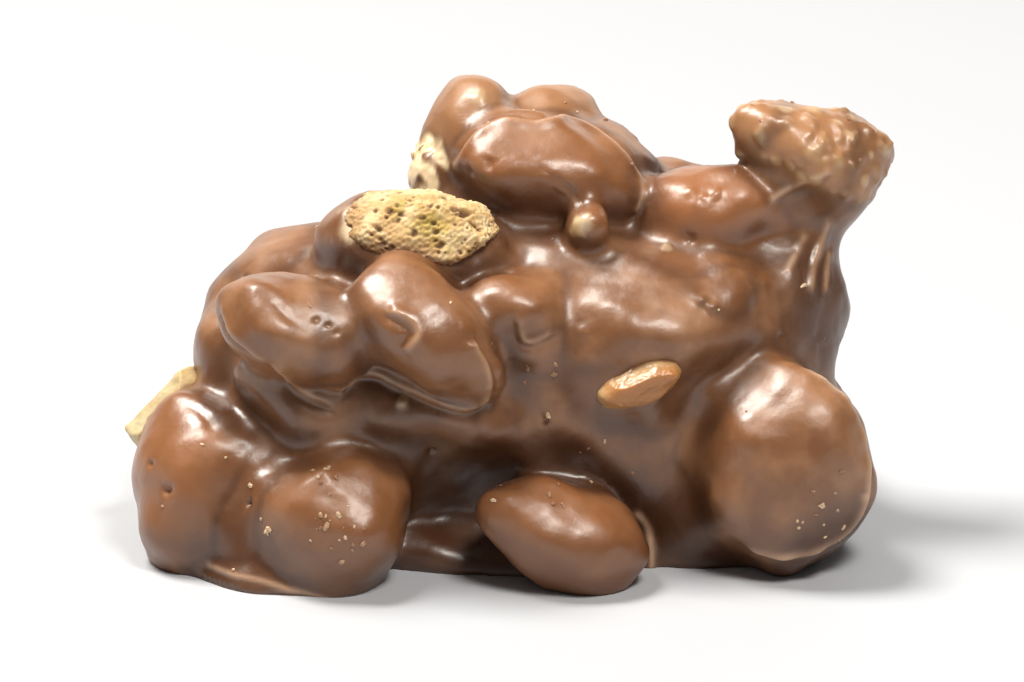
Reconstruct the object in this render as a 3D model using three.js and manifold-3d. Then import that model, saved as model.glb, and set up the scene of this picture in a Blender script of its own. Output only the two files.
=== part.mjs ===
import * as THREE from 'three';
import { MarchingCubes } from 'three/addons/objects/MarchingCubes.js';
import { mergeVertices } from 'three/addons/utils/BufferGeometryUtils.js';
import Module from 'manifold-3d';

const wasm = await Module();
wasm.setup();

// Driving dimensions, in millimetres. X runs to the right, Y away from the front, Z up.
const SKIN_CELL = 1.2;      // size of one facet of the chocolate skin
const SKIN_RELAX = 6;       // passes that even out the facets along the skin
const FLAT_SIDE = 0;        // height of the flat underside that the cluster set on
const BLOCK = 120;          // side of the blocks that cut the underside and the breaks flat
const POCKET_GAP = 0.3;     // room round each bare piece in its pocket
const NUT_BLEND = 1.5;      // how far the chocolate fills the crease round a nut
const WEB_BLEND = 3.0;      // the same, where chocolate has pooled between nuts

// Slow bends that take the regular look off every lump: reach, then turns per millimetre.
const BEND = { wide: 0.24, wideRate: 0.52, fine: 0.11, fineRate: 1.22 };

// The coated nuts and puffs and the chocolate between them. half is the half size along
// the lump's own axes, lean tips its right end down and yaw turns it seen from above.
const nut = (x, y, z, half, lean = 0, yaw = 0) => ({ at: [x, y, z], half, lean, yaw, blend: NUT_BLEND });
const web = (x, y, z, half, lean = 0, yaw = 0) => ({ at: [x, y, z], half, lean, yaw, blend: WEB_BLEND });

const CORE = [
  web(1.2, 1.6, 9.5, [15.0, 9.4, 9.0]),             // mass that everything sticks to
  web(-0.3, 1.9, 0.4, [19.4, 10.6, 2.8]),           // foot that spread on the flat side
  nut(-13.4, -8.0, 0.2, [5.6, 3.9, 1.1], 0, -28),   // flake of the foot at the left
  web(-13.8, -7.8, 3.2, [4.0, 3.4, 3.6], 0, -25),   // slope above it
  web(-8.3, -1.5, 11.5, [8.0, 6.5, 6.0]),           // left mass
  web(-12.6, -1.8, 4.6, [4.8, 5.2, 4.4]),           // chocolate behind the left lump
  web(2.4, 2.2, 15.4, [7.0, 6.2, 4.0]),             // shelf that carries the crown
  web(-1.2, 3.0, 19.2, [3.2, 3.2, 2.8]),            // its neck, behind the bare puff
  web(7.6, -2.6, 14.0, [7.4, 6.2, 2.9]),            // saddle in front of it
  web(9.6, -1.8, 14.9, [4.0, 3.6, 2.9]),            // its slope under the thinly coated nut
  web(6.4, -3.4, 11.2, [5.4, 4.9, 3.6]),            // saddle's front slope
  web(12.8, 0.0, 8.4, [4.6, 6.5, 6.0]),             // right mass
  web(11.9, -3.6, 3.2, [4.4, 4.6, 4.0]),            // chocolate under the right puff
  web(4.0, -1.6, 6.8, [8.5, 5.0, 6.0]),             // back wall of the front hollow
  web(-9.6, -4.2, 6.8, [5.6, 4.0, 4.4]),            // the same, at its left
  web(17.4, -0.6, 4.2, [3.8, 4.6, 4.6]),            // chocolate behind the right puff
];

const LEFT = [
  nut(-18.6, -5.0, 4.4, [3.8, 5.0, 5.5], 10),
  nut(-15.0, -4.8, 4.2, [3.6, 3.8, 4.8]),
  nut(-16.2, 1.0, 10.7, [2.9, 4.5, 4.6]),
  nut(-13.2, 2.0, 14.2, [3.7, 4.5, 3.1], -25),
];

const LEDGE = [
  nut(-13.2, -8.0, 15.2, [3.9, 4.0, 3.0], 14),      // twin nuts that jut over the front
  nut(-10.5, -8.0, 14.6, [2.4, 3.4, 2.8]),
  nut(-4.8, -8.5, 14.9, [5.2, 3.8, 3.0], 42),
  nut(-11.7, -6.0, 10.2, [4.4, 3.4, 2.2], 22),      // coat below the twin nuts
  nut(-4.6, -6.5, 9.5, [5.0, 3.4, 2.0], 12),
  nut(0.3, -7.0, 16.2, [2.5, 2.4, 1.7], 10),
  nut(1.4, -7.0, 14.1, [1.5, 1.8, 1.4]),
  nut(4.3, -3.2, 19.6, [1.15, 1.2, 1.25]),          // upright nub
  nut(11.9, -4.9, 15.7, [1.8, 1.3, 1.1], 10),       // torn crumb
];

const CROWN = [
  nut(-8.9, -2.4, 18.5, [2.8, 3.0, 2.4], -25),      // coated side of the bare puff
  nut(-5.2, -3.4, 18.6, [4.8, 3.0, 2.3], 8),
  nut(-2.6, 5.0, 23.0, [2.6, 3.2, 3.2]),
  nut(-4.6, 3.5, 21.2, [1.5, 2.2, 2.0], -10),
  nut(2.3, 6.5, 23.0, [2.8, 3.2, 2.5], 8),
  nut(2.3, 1.0, 22.0, [5.5, 4.0, 2.9], 13),         // hood nut
  nut(6.5, 4.5, 21.7, [2.6, 3.0, 1.7], 42),
  nut(11.7, 4.5, 17.3, [3.8, 3.5, 3.3]),
  nut(11.7, 0.5, 19.6, [4.0, 3.2, 2.5], 4),
];

const TOWER = [
  nut(14.9, 1.8, 24.1, [1.9, 2.1, 1.8]),
  nut(17.6, 1.5, 23.0, [3.3, 2.8, 2.6], 6),
  nut(20.1, 2.4, 22.2, [2.4, 2.7, 2.6], 24),
  nut(18.9, 2.5, 20.1, [2.3, 2.2, 2.1], -30),
  nut(17.2, 0.9, 20.9, [2.2, 1.5, 1.1], -22),
  web(17.1, 2.5, 16.3, [1.5, 2.4, 4.2], 4),         // stalk of chocolate that carries the knob
  web(15.7, 1.5, 13.4, [3.9, 4.2, 3.9], -20),
];

const FRONT = [
  nut(15.8, -7.0, 6.3, [5.2, 5.0, 5.9], -6),        // large puff at the right
  nut(17.0, -7.2, 4.5, [3.3, 4.0, 4.2]),            // its full lower side
  nut(-10.2, -10.0, 3.7, [4.4, 4.0, 4.2], -28),
  nut(3.1, -10.5, 3.2, [5.4, 3.6, 2.9], 24),
];

const TOP = [
  nut(-8.4, 3.4, 16.0, [4.2, 3.4, 2.8], -18, 25),
  nut(-3.6, 7.6, 17.2, [2.6, 2.8, 2.6]),
  nut(8.6, 6.6, 18.2, [3.0, 2.8, 2.4], 15),
];

const BACK = [
  nut(-14.3, 6.3, 6.0, [4.6, 5.2, 4.9], 0, 15),
  nut(-5.8, 10.2, 5.0, [5.8, 4.1, 4.3], 12),
  nut(4.8, 10.6, 7.2, [4.3, 4.0, 5.7], -15),
  nut(13.6, 7.4, 6.0, [5.2, 5.2, 5.2]),
  nut(-8.3, 7.2, 13.0, [5.0, 4.0, 3.5], -20, 20),
  nut(-0.8, 10.0, 13.2, [2.8, 2.6, 2.4]),
  nut(2.8, 8.6, 16.0, [4.0, 3.8, 4.3], 20, 10),
  nut(10.6, 7.8, 13.0, [5.2, 3.8, 3.6], 18, -15),
  nut(17.0, 3.0, 4.4, [3.3, 4.2, 4.2]),
  nut(-18.2, 2.6, 3.2, [3.4, 4.2, 3.6]),
];

const LUMPS = [...CORE, ...LEFT, ...LEDGE, ...CROWN, ...TOWER, ...FRONT, ...TOP, ...BACK];

// Bare pieces that show through the chocolate, each in a pocket of its own.
// rough is the depth of their dents; breaks are the flat sides where the nut snapped, each
// some way out from the piece's middle.
const BARE_PUFF = { at: [-5.4, -3.9, 19.5], half: [4.7, 3.1, 2.3], lean: 6, rough: 0.3, facets: 6 };
const AMBER_CHIP = { at: [7.4, -8.7, 11.7], half: [2.6, 1.4, 1.2], lean: -22, rough: 0.1, facets: 4 };
const CREAM_CHIP = {
  at: [-20.0, -0.8, 7.2], half: [3.0, 2.3, 3.4], lean: -35, rough: 0.08, facets: 4,
  breaks: [
    { toward: [-0.70, -0.42, 0.57], out: 1.72 },
    { toward: [-0.61, 0.51, 0.61], out: 1.26 },
  ],
};

const CHOCOLATE_LOOK = { color: 0x8c5d41, roughness: 0.38, metalness: 0 };
const PUFF_LOOK = { color: 0xd2b271, roughness: 0.85, metalness: 0 };
const AMBER_LOOK = { color: 0xc08a52, roughness: 0.4, metalness: 0 };
const CREAM_LOOK = { color: 0xe6d9b6, roughness: 0.7, metalness: 0 };

function turnOf({ lean = 0, yaw = 0 }) {
  const { degToRad } = THREE.MathUtils;
  return new THREE.Quaternion().setFromEuler(new THREE.Euler(0, degToRad(lean), degToRad(yaw), 'ZYX'));
}

function bend(p) {
  const { wide, wideRate: w, fine, fineRate: f } = BEND;
  return new THREE.Vector3(
    p.x + wide * Math.sin(w * p.y + 0.6 * w * p.z + 0.7) + fine * Math.sin(f * p.z + 0.75 * f * p.y),
    p.y + wide * Math.sin(w * p.z + 0.7 * w * p.x + 2.1) + fine * Math.sin(f * p.x + 0.8 * f * p.z + 1.0),
    p.z + wide * Math.sin(w * p.x + 0.65 * w * p.y + 4.0) + fine * Math.sin(f * p.y + 0.9 * f * p.x + 2.0),
  );
}

// Near distance from p to an ellipsoid's skin, less than zero inside it.
const toLump = new THREE.Vector3();
function distanceToLump(p, lump) {
  toLump.set(p.x - lump.at[0], p.y - lump.at[1], p.z - lump.at[2]).applyQuaternion(lump.unturn);
  const [a, b, c] = lump.half;
  const near = Math.hypot(toLump.x / a, toLump.y / b, toLump.z / c);
  const steep = Math.hypot(toLump.x / a ** 2, toLump.y / b ** 2, toLump.z / c ** 2);
  return near < 1e-6 ? -Math.min(a, b, c) : near * (near - 1) / steep;
}

function softJoin(a, b, blend) {
  const overlap = Math.max(blend - Math.abs(a - b), 0) / blend;
  return Math.min(a, b) - overlap * overlap * blend / 4;
}

function distanceToCluster(p) {
  const q = bend(p);
  return LUMPS.reduce((d, lump) => softJoin(d, distanceToLump(q, lump), lump.blend), Infinity);
}

function clusterSlope(p, step = 0.05) {
  const at = (x, y, z) => distanceToCluster(new THREE.Vector3(p.x + x, p.y + y, p.z + z));
  return new THREE.Vector3(
    at(step, 0, 0) - at(-step, 0, 0),
    at(0, step, 0) - at(0, -step, 0),
    at(0, 0, step) - at(0, 0, -step),
  ).divideScalar(2 * step);
}

// A marching grid just larger than the cluster finds its skin.
function marchSkin() {
  const box = new THREE.Box3();
  for (const { at, half } of LUMPS) {
    const reach = new THREE.Vector3().setScalar(Math.max(...half) + 1);
    box.expandByPoint(new THREE.Vector3(...at).add(reach));
    box.expandByPoint(new THREE.Vector3(...at).sub(reach));
  }
  const middle = box.getCenter(new THREE.Vector3());
  const longest = Math.max(...box.getSize(new THREE.Vector3()).toArray());
  const cells = 2 * Math.ceil(longest / SKIN_CELL / 2) + 6;
  const scale = cells / 2 * SKIN_CELL;
  const grid = new MarchingCubes(cells, new THREE.MeshStandardMaterial(), false, false, 60000);
  grid.isolation = 0;
  const p = new THREE.Vector3();
  for (let k = 0; k < cells; k++) {
    for (let j = 0; j < cells; j++) {
      for (let i = 0; i < cells; i++) {
        p.set(i, j, k).divideScalar(cells / 2).subScalar(1).multiplyScalar(scale).add(middle);
        grid.setCell(i, j, k, -distanceToCluster(p));
      }
    }
  }
  grid.update();
  const skin = new THREE.BufferGeometry();
  const corners = grid.positionArray.slice(0, grid.count * 3);
  skin.setAttribute('position', new THREE.BufferAttribute(corners, 3));
  skin.scale(scale, scale, scale).translate(middle.x, middle.y, middle.z);
  return mergeVertices(skin, 1e-3);
}

// Slides each corner toward the middle of its neighbours and back onto the skin.
function relaxSkin(skin) {
  const position = skin.getAttribute('position');
  const index = skin.getIndex().array;
  const neighbours = Array.from({ length: position.count }, () => new Set());
  for (let t = 0; t < index.length; t += 3) {
    for (let e = 0; e < 3; e++) {
      const [a, b] = [index[t + e], index[t + (e + 1) % 3]];
      neighbours[a].add(b);
      neighbours[b].add(a);
    }
  }
  for (let pass = 0; pass < SKIN_RELAX; pass++) {
    const before = position.clone();
    for (let i = 0; i < position.count; i++) {
      const here = new THREE.Vector3().fromBufferAttribute(before, i);
      const middle = new THREE.Vector3();
      for (const n of neighbours[i]) middle.add(new THREE.Vector3().fromBufferAttribute(before, n));
      const shift = middle.divideScalar(neighbours[i].size).sub(here);
      const normal = clusterSlope(here).normalize();
      here.add(shift.addScaledVector(normal, -shift.dot(normal)).multiplyScalar(0.6));
      const slope = clusterSlope(here);
      here.addScaledVector(slope, -distanceToCluster(here) / slope.lengthSq());
      position.setXYZ(i, ...here.toArray());
    }
  }
  return skin;
}

// A lump with shallow dents, wound outward; swell grows it on every side.
function dentedLump({ at, half, rough, facets, ...turn }, swell) {
  const geometry = new THREE.IcosahedronGeometry(1, facets);
  geometry.deleteAttribute('normal');
  geometry.deleteAttribute('uv');
  const piece = mergeVertices(geometry, 1e-4);
  const position = piece.getAttribute('position');
  const p = new THREE.Vector3();
  for (let i = 0; i < position.count; i++) {
    p.fromBufferAttribute(position, i);
    const dent = Math.sin(5.1 * p.x + 1.3) * Math.sin(4.3 * p.y + 0.4) * Math.sin(4.7 * p.z + 2.2);
    const [a, b, c] = half.map(size => size + swell + rough * dent);
    p.set(p.x * a, p.y * b, p.z * c).applyQuaternion(turnOf(turn)).add(new THREE.Vector3(...at));
    position.setXYZ(i, p.x, p.y, p.z);
  }
  return piece;
}

// The block on the far side of a break: its near face is the flat that the break leaves.
function breakBlock(at, { toward, out }) {
  const way = new THREE.Vector3(...toward).normalize();
  const block = plainBlock(BLOCK, BLOCK, BLOCK).translate(0, 0, BLOCK / 2 + out);
  block.applyQuaternion(new THREE.Quaternion().setFromUnitVectors(new THREE.Vector3(0, 0, 1), way));
  return block.translate(...at);
}

function pieceGeometry({ breaks = [], ...piece }, swell = 0) {
  let solid = toSolid(dentedLump(piece, swell));
  for (const { toward, out } of breaks) {
    solid = solid.subtract(toSolid(breakBlock(piece.at, { toward, out: out + swell })));
  }
  return toGeometry(solid);
}

function plainBlock(...sides) {
  const block = new THREE.BoxGeometry(...sides);
  block.deleteAttribute('normal');
  block.deleteAttribute('uv');
  return mergeVertices(block);
}

function toSolid(geometry) {
  return new wasm.Manifold(new wasm.Mesh({
    numProp: 3,
    vertProperties: new Float32Array(geometry.getAttribute('position').array),
    triVerts: new Uint32Array(geometry.getIndex().array),
  }));
}

function toGeometry(solid) {
  const { vertProperties, triVerts } = solid.getMesh();
  const geometry = new THREE.BufferGeometry();
  geometry.setAttribute('position', new THREE.BufferAttribute(new Float32Array(vertProperties), 3));
  geometry.setIndex(new THREE.BufferAttribute(new Uint32Array(triVerts), 1));
  return geometry;
}

function chocolateGeometry(bareParts) {
  const table = plainBlock(BLOCK, BLOCK, BLOCK).translate(0, 0, FLAT_SIDE - BLOCK / 2);
  let solid = toSolid(relaxSkin(marchSkin())).subtract(toSolid(table));
  for (const part of bareParts) solid = solid.subtract(toSolid(pieceGeometry(part, POCKET_GAP)));
  return toGeometry(solid);
}

function namedMesh(name, geometry, look) {
  const mesh = new THREE.Mesh(geometry, new THREE.MeshStandardMaterial(look));
  mesh.name = name;
  return mesh;
}

for (const lump of LUMPS) lump.unturn = turnOf(lump).invert();

const group = new THREE.Group();
group.add(
  namedMesh('chocolate', chocolateGeometry([BARE_PUFF, AMBER_CHIP, CREAM_CHIP]), CHOCOLATE_LOOK),
  namedMesh('bare_puff', pieceGeometry(BARE_PUFF), PUFF_LOOK),
  namedMesh('amber_chip', pieceGeometry(AMBER_CHIP), AMBER_LOOK),
  namedMesh('cream_chip', pieceGeometry(CREAM_CHIP), CREAM_LOOK),
);

export default group;
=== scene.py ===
import math

import bmesh
import bpy
import numpy as np
from mathutils import Matrix, Vector
from mathutils.bvhtree import BVHTree
from mathutils.kdtree import KDTree


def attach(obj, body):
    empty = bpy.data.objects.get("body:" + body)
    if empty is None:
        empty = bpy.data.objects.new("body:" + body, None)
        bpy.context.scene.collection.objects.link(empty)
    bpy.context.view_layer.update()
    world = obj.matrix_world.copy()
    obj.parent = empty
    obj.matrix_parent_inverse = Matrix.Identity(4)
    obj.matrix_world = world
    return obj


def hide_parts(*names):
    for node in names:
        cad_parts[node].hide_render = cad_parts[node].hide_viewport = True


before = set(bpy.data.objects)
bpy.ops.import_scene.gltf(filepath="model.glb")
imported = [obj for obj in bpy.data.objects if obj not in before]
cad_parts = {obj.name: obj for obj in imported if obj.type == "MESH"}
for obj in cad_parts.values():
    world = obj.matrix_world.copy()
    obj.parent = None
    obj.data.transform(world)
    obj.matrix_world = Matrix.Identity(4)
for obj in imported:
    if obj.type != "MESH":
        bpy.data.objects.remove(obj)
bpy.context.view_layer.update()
mm = 0.001
rng = np.random.default_rng(24)

# the view, in millimetres. Small details are placed by where it shows them: across and up
# from its middle, as (across, up)
sight = {
    "elevation": 18.0,          # degrees above the horizon
    "distance": 500.0,
    "target": (0.0, 0.0, 11.5),
    "lens": 297.0,              # focal length, on film 36 wide
}
rise = math.radians(sight["elevation"])
target = Vector(sight["target"])
sightUp = Vector((0.0, math.sin(rise), math.cos(rise)))
eye = target + Vector((0.0, -math.cos(rise), math.sin(rise))) * sight["distance"]

# the cluster's lumps, bends and blends: the same as the solids, in millimetres. Where a name
# ends in Waves, its values are an unevenness's wave length and seed, and where it ends in Over, they
# are where a smooth change starts and ends
coat = {
    "voxel": 0.285,   # facet size of the finished skin
    "roughVoxel": 1.6,          # that of the first one, as a multiple of it
    "fineReach": 0.75,          # the skin has half-size facets this near to a detail
    "nutBlend": 1.5,            # how far chocolate fills the crease round a nut
    "webBlend": 3.0,            # the same where it pooled
    "bendWide": 0.24, "bendWideRate": 0.52,     # wide bends that take the regular look off the lumps,
    "bendFine": 0.11, "bendFineRate": 1.22,     # and finer ones: reach, then turns per millimetre
    "wobble": 0.09, "wobbleWaves": (4.5, 3),        # height of the coat's slow unevenness
    "ripple": 0.02, "rippleWaves": (1.5, 5),        # and of its finer one
    "footLip": 0.35,            # how far the foot flares where it met the flat side
    "footLipRise": 0.5,         # and how high up that reaches
    "flatKeep": 0.25,           # how much of a nut's roundness its flats keep
    "flatSoft": 0.25,           # how softly a flat's edge turns
    "flatReach": 1.5,           # how far a flat reaches past its own nut
    "seamHeight": 0.2, "seamWidths": (0.3, 0.8),    # raised seam: beyond its plane, and before it
    "seamReach": 0.8,           # how far a seam reaches past its own nut
    "seamPale": 0.5, "seamPaleFrom": 0.08,          # how pale its crest is, and from what height
    "lipReach": 1.4,            # how far from its crest a lip shapes the skin
    "lipWidths": (0.22, 0.55),  # a lip's crest: on the side where it drops off, and on the other
    "lipDropOut": 0.5, "lipDropWidth": 0.28,        # the drop beyond it
    "lipEnd": 0.3,              # how softly a lip runs out at its ends
    "lipBand": 0.2,             # width of its pale edge, where it has none of its own
    "lipUneven": 0.2, "lipWaves": (1.6, 21),
    "rimHeight": 0.16, "rimWidth": 0.35,            # chocolate that creeps up round a bare piece
    "rimOut": 0.1,              # how far outside the piece its crest lies
    "rimUneven": 0.3, "rimWaves": (1.3, 25),
    "spotsAbove": 1.2,          # random details keep clear of the foot,
    "spotsFacing": -0.5,        # and of skin that faces further down than this
    "crumbBumps": 125,          # crumbs under the coat of the rough nuts
    "crumbBumpRadius": (0.22, 0.5), "crumbBumpSteep": (0.2, 0.45),  # height as a share of radius
    "crumbBumpBare": [0.0, 0.12, 0.35],
    "looseBumps": 55,           # the same, all over
    "looseBumpRadius": (0.3, 0.7), "looseBumpHeight": (0.04, 0.13),
    "pinholes": 16,
    "pinholeRadius": (0.18, 0.3), "pinholeDepth": (0.12, 0.3),
    "dabUneven": 0.25, "dabWaves": (0.9, 23),       # how far a bump or pit is from round
    "wornOver": (0.3, 0.7),     # how sharply the coat ends where it has rubbed off
    "wornUneven": 0.5, "wornEdgeWaves": (1.4, 11),
    "wornDepth": 0.1,           # thickness of the coat round that place
    "wornCrumb": 0.05, "wornCrumbWaves": (0.6, 13),     # roughness of the nut that shows there
    "finishBlend": 0.5,         # how softly one nut's finish turns into the next one's
    "thinInCrease": 0.35,       # share of a thin coat's tone that is left in the creases,
    "thinOver": (0.2, 2.4),     # and how far out of them it comes back
}

# how much painted shade goes in the creases, in hollows, near the foot, and at most
shade = {
    "crease": 0.5, "creaseOver": (0.0, 0.8),
    "hollow": 0.7, "hollowReach": 3.0, "hollowOver": (0.1, 0.8),
    "foot": 0.4, "footOver": (1.0, 7.0),
    "most": 0.85,
}


def nut(x, y, z, half, lean=0, yaw=0, **finishAndPaintedLightAndShade):
    return {"at": np.array([x, y, z]), "half": np.array(half), "lean": lean, "yaw": yaw,
            "blend": coat["nutBlend"], **finishAndPaintedLightAndShade}


def web(x, y, z, half, lean=0, yaw=0, **finishAndPaintedLightAndShade):
    return nut(x, y, z, half, lean, yaw, **finishAndPaintedLightAndShade) | {"blend": coat["webBlend"]}


def across(toward, out):
    # a plane across a nut, square to a direction and some way out from the nut's middle
    return {"toward": np.array(Vector(toward).normalized()), "out": out}


# a lump's dark-tone share is painted shade on it, and its tan share is partly painted light
core = [
    web(1.2, 1.6, 9.5, [15.0, 9.4, 9.0]),
    web(-0.3, 1.9, 0.4, [19.4, 10.6, 2.8], deep=0.35),
    nut(-13.4, -8.0, 0.2, [5.6, 3.9, 1.1], 0, -28, deep=0.3),
    web(-13.8, -7.8, 3.2, [4.0, 3.4, 3.6], 0, -25, deep=0.35),
    web(-8.3, -1.5, 11.5, [8.0, 6.5, 6.0]),
    web(-12.6, -1.8, 4.6, [4.8, 5.2, 4.4], deep=0.5),
    web(2.4, 2.2, 15.4, [7.0, 6.2, 4.0]),
    web(-1.2, 3.0, 19.2, [3.2, 3.2, 2.8]),
    web(7.6, -2.6, 14.0, [7.4, 6.2, 2.9]),
    web(9.6, -1.8, 14.9, [4.0, 3.6, 2.9]),
    web(6.4, -3.4, 11.2, [5.4, 4.9, 3.6]),
    web(12.8, 0.0, 8.4, [4.6, 6.5, 6.0]),
    web(11.9, -3.6, 3.2, [4.4, 4.6, 4.0], deep=0.6),
    web(4.0, -1.6, 6.8, [8.5, 5.0, 6.0], deep=0.6),
    web(-9.6, -4.2, 6.8, [5.6, 4.0, 4.4], deep=0.6),
    web(17.4, -0.6, 4.2, [3.8, 4.6, 4.6], deep=0.4),
]
left = [
    nut(-18.6, -5.0, 4.4, [3.8, 5.0, 5.5], 10, thin=0.7, flats=[across((-0.15, -0.55, 0.82), 4.7)]),
    nut(-15.0, -4.8, 4.2, [3.6, 3.8, 4.8], deep=0.5),
    nut(-16.2, 1.0, 10.7, [2.9, 4.5, 4.6]),
    nut(-13.2, 2.0, 14.2, [3.7, 4.5, 3.1], -25, thin=0.2),
]
ledge = [
    nut(-13.2, -8.0, 15.2, [3.9, 4.0, 3.0], 14, thin=0.15, flats=[across((0.15, -0.76, 0.63), 3.0)]),
    nut(-10.5, -8.0, 14.6, [2.4, 3.4, 2.8]),
    nut(-4.8, -8.5, 14.9, [5.2, 3.8, 3.0], 42, thin=0.2, flats=[across((-0.27, -0.55, 0.79), 4.0)]),
    nut(-11.7, -6.0, 10.2, [4.4, 3.4, 2.2], 22, deep=0.35),
    nut(-4.6, -6.5, 9.5, [5.0, 3.4, 2.0], 12, deep=0.35),
    nut(0.3, -7.0, 16.2, [2.5, 2.4, 1.7], 10, thin=0.3),
    nut(1.4, -7.0, 14.1, [1.5, 1.8, 1.4], thin=0.2),
    nut(4.3, -3.2, 19.6, [1.15, 1.2, 1.25], thin=0.5),
    nut(11.9, -4.9, 15.7, [1.8, 1.3, 1.1], 10, bumpy=0.6, thin=0.5, deep=0.35),
]
crown = [
    nut(-8.9, -2.4, 18.5, [2.8, 3.0, 2.4], -25, thin=0.4),
    nut(-5.2, -3.4, 18.6, [4.8, 3.0, 2.3], 8),
    nut(-2.6, 5.0, 23.0, [2.6, 3.2, 3.2], tan=0.6),
    nut(-4.6, 3.5, 21.2, [1.5, 2.2, 2.0], -10, worn=1.0),
    nut(2.3, 6.5, 23.0, [2.8, 3.2, 2.5], 8, tan=0.6),
    nut(2.3, 1.0, 22.0, [5.5, 4.0, 2.9], 13, thin=0.45,
        flats=[across((0.0, -0.6, 0.8), 2.6), across((0.1, -0.97, -0.2), 3.0)]),
    nut(6.5, 4.5, 21.7, [2.6, 3.0, 1.7], 42, flats=[across((0.67, 0.23, 0.7), 0.9)]),
    nut(11.7, 4.5, 17.3, [3.8, 3.5, 3.3], deep=0.3),
    nut(11.7, 0.5, 19.6, [4.0, 3.2, 2.5], 4, thin=1.0, flats=[across((0.0, 0.31, 0.95), 2.35)]),
]
tower = [
    nut(14.9, 1.8, 24.1, [1.9, 2.1, 1.8], bumpy=1.0, tan=0.8, flats=[across((-0.57, 0.25, 0.78), 1.5)]),
    nut(17.6, 1.5, 23.0, [3.3, 2.8, 2.6], 6, bumpy=1.0, tan=0.8),
    nut(20.1, 2.4, 22.2, [2.4, 2.7, 2.6], 24, bumpy=0.8, tan=0.5,
        flats=[across((0.6, 0.25, 0.76), 1.85)]),
    nut(18.9, 2.5, 20.1, [2.3, 2.2, 2.1], -30),
    nut(17.2, 0.9, 20.9, [2.2, 1.5, 1.1], -22, thin=0.6),
    web(17.1, 2.5, 16.3, [1.5, 2.4, 4.2], 4, deep=0.35),
    web(15.7, 1.5, 13.4, [3.9, 4.2, 3.9], -20, deep=0.8),
]
front = [
    nut(15.8, -7.0, 6.3, [5.2, 5.0, 5.9], -6, thin=0.1,
        flats=[across((-0.1, -0.99, 0.1), 4.5), across((-0.3, -0.54, 0.79), 4.9)]),
    nut(17.0, -7.2, 4.5, [3.3, 4.0, 4.2], thin=0.1),
    nut(-10.2, -10.0, 3.7, [4.4, 4.0, 4.2], -28, thin=0.5, flats=[across((0.15, -0.77, 0.62), 3.7)]),
    nut(3.1, -10.5, 3.2, [5.4, 3.6, 2.9], 24, thin=0.6, flats=[across((0.12, -0.76, 0.64), 3.0)]),
]
top = [
    nut(-8.4, 3.4, 16.0, [4.2, 3.4, 2.8], -18, 25, thin=0.3),
    nut(-3.6, 7.6, 17.2, [2.6, 2.8, 2.6]),
    nut(8.6, 6.6, 18.2, [3.0, 2.8, 2.4], 15, thin=0.4),
]
back = [
    nut(-14.3, 6.3, 6.0, [4.6, 5.2, 4.9], 0, 15, thin=0.2),
    nut(-5.8, 10.2, 5.0, [5.8, 4.1, 4.3], 12, thin=0.5, seams=[across((0.2, 0.3, -1), 1.9)]),
    nut(4.8, 10.6, 7.2, [4.3, 4.0, 5.7], -15, flats=[across((0.1, 0.98, 0.15), 3.5)]),
    nut(13.6, 7.4, 6.0, [5.2, 5.2, 5.2], thin=0.3, seams=[across((-0.7, 0.6, 0.2), 1.2)]),
    nut(-8.3, 7.2, 13.0, [5.0, 4.0, 3.5], -20, 20, seams=[across((0.1, 0.4, -1), 1.6)]),
    nut(-0.8, 10.0, 13.2, [2.8, 2.6, 2.4], thin=0.6),
    nut(2.8, 8.6, 16.0, [4.0, 3.8, 4.3], 20, 10, thin=0.2),
    nut(10.6, 7.8, 13.0, [5.2, 3.8, 3.6], 18, -15, thin=0.5, seams=[across((-0.2, 0.3, -1), 1.8)]),
    nut(17.0, 3.0, 4.4, [3.3, 4.2, 4.2]),
    nut(-18.2, 2.6, 3.2, [3.4, 4.2, 3.6], thin=0.3),
]
lumps = core + left + ledge + crown + tower + front + top + back

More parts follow.
